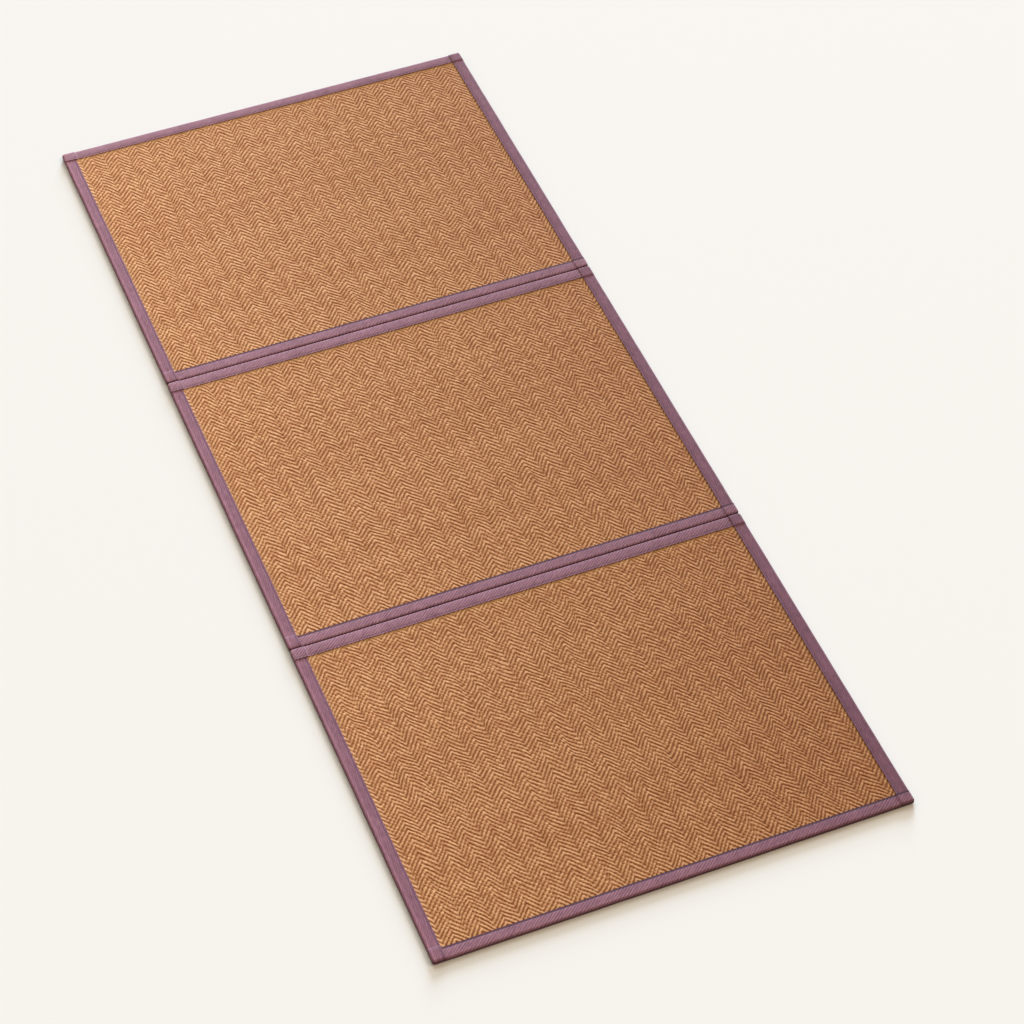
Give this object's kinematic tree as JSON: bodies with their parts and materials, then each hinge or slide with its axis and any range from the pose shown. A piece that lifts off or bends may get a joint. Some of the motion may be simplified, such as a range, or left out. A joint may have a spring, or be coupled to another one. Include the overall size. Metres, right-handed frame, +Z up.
{
  "type": "folding tatami mat",
  "caption": "Flat folding floor mat of herringbone-woven rush panels in a row, each bound round its edges with lapped cotton tape.",
  "frame": {"origin": "on the floor, under the centre of the mat", "axes": "+X across the mat, +Y along its length to the far end, +Z up from the floor"},
  "size_m": [0.7, 1.7, 0.0083],
  "materials": {
    "rush": "dry woven rush, satin stalks",
    "tape": "matt cotton twill, machine stitched",
    "fold_cloth": "matt cotton"
  },
  "bodies": {
    "root": {"rush_near": "rush", "rush_middle": "rush", "rush_far": "rush", "tape_near_front": "tape", "tape_near_right": "tape", "tape_near_back": "tape", "tape_near_left": "tape", "tape_middle_front": "tape", "tape_middle_right": "tape", "tape_middle_back": "tape", "tape_middle_left": "tape", "tape_far_front": "tape", "tape_far_right": "tape", "tape_far_back": "tape", "tape_far_left": "tape", "fold_strip_near": "fold_cloth", "fold_strip_far": "fold_cloth"}
  },
  "joints": []
}
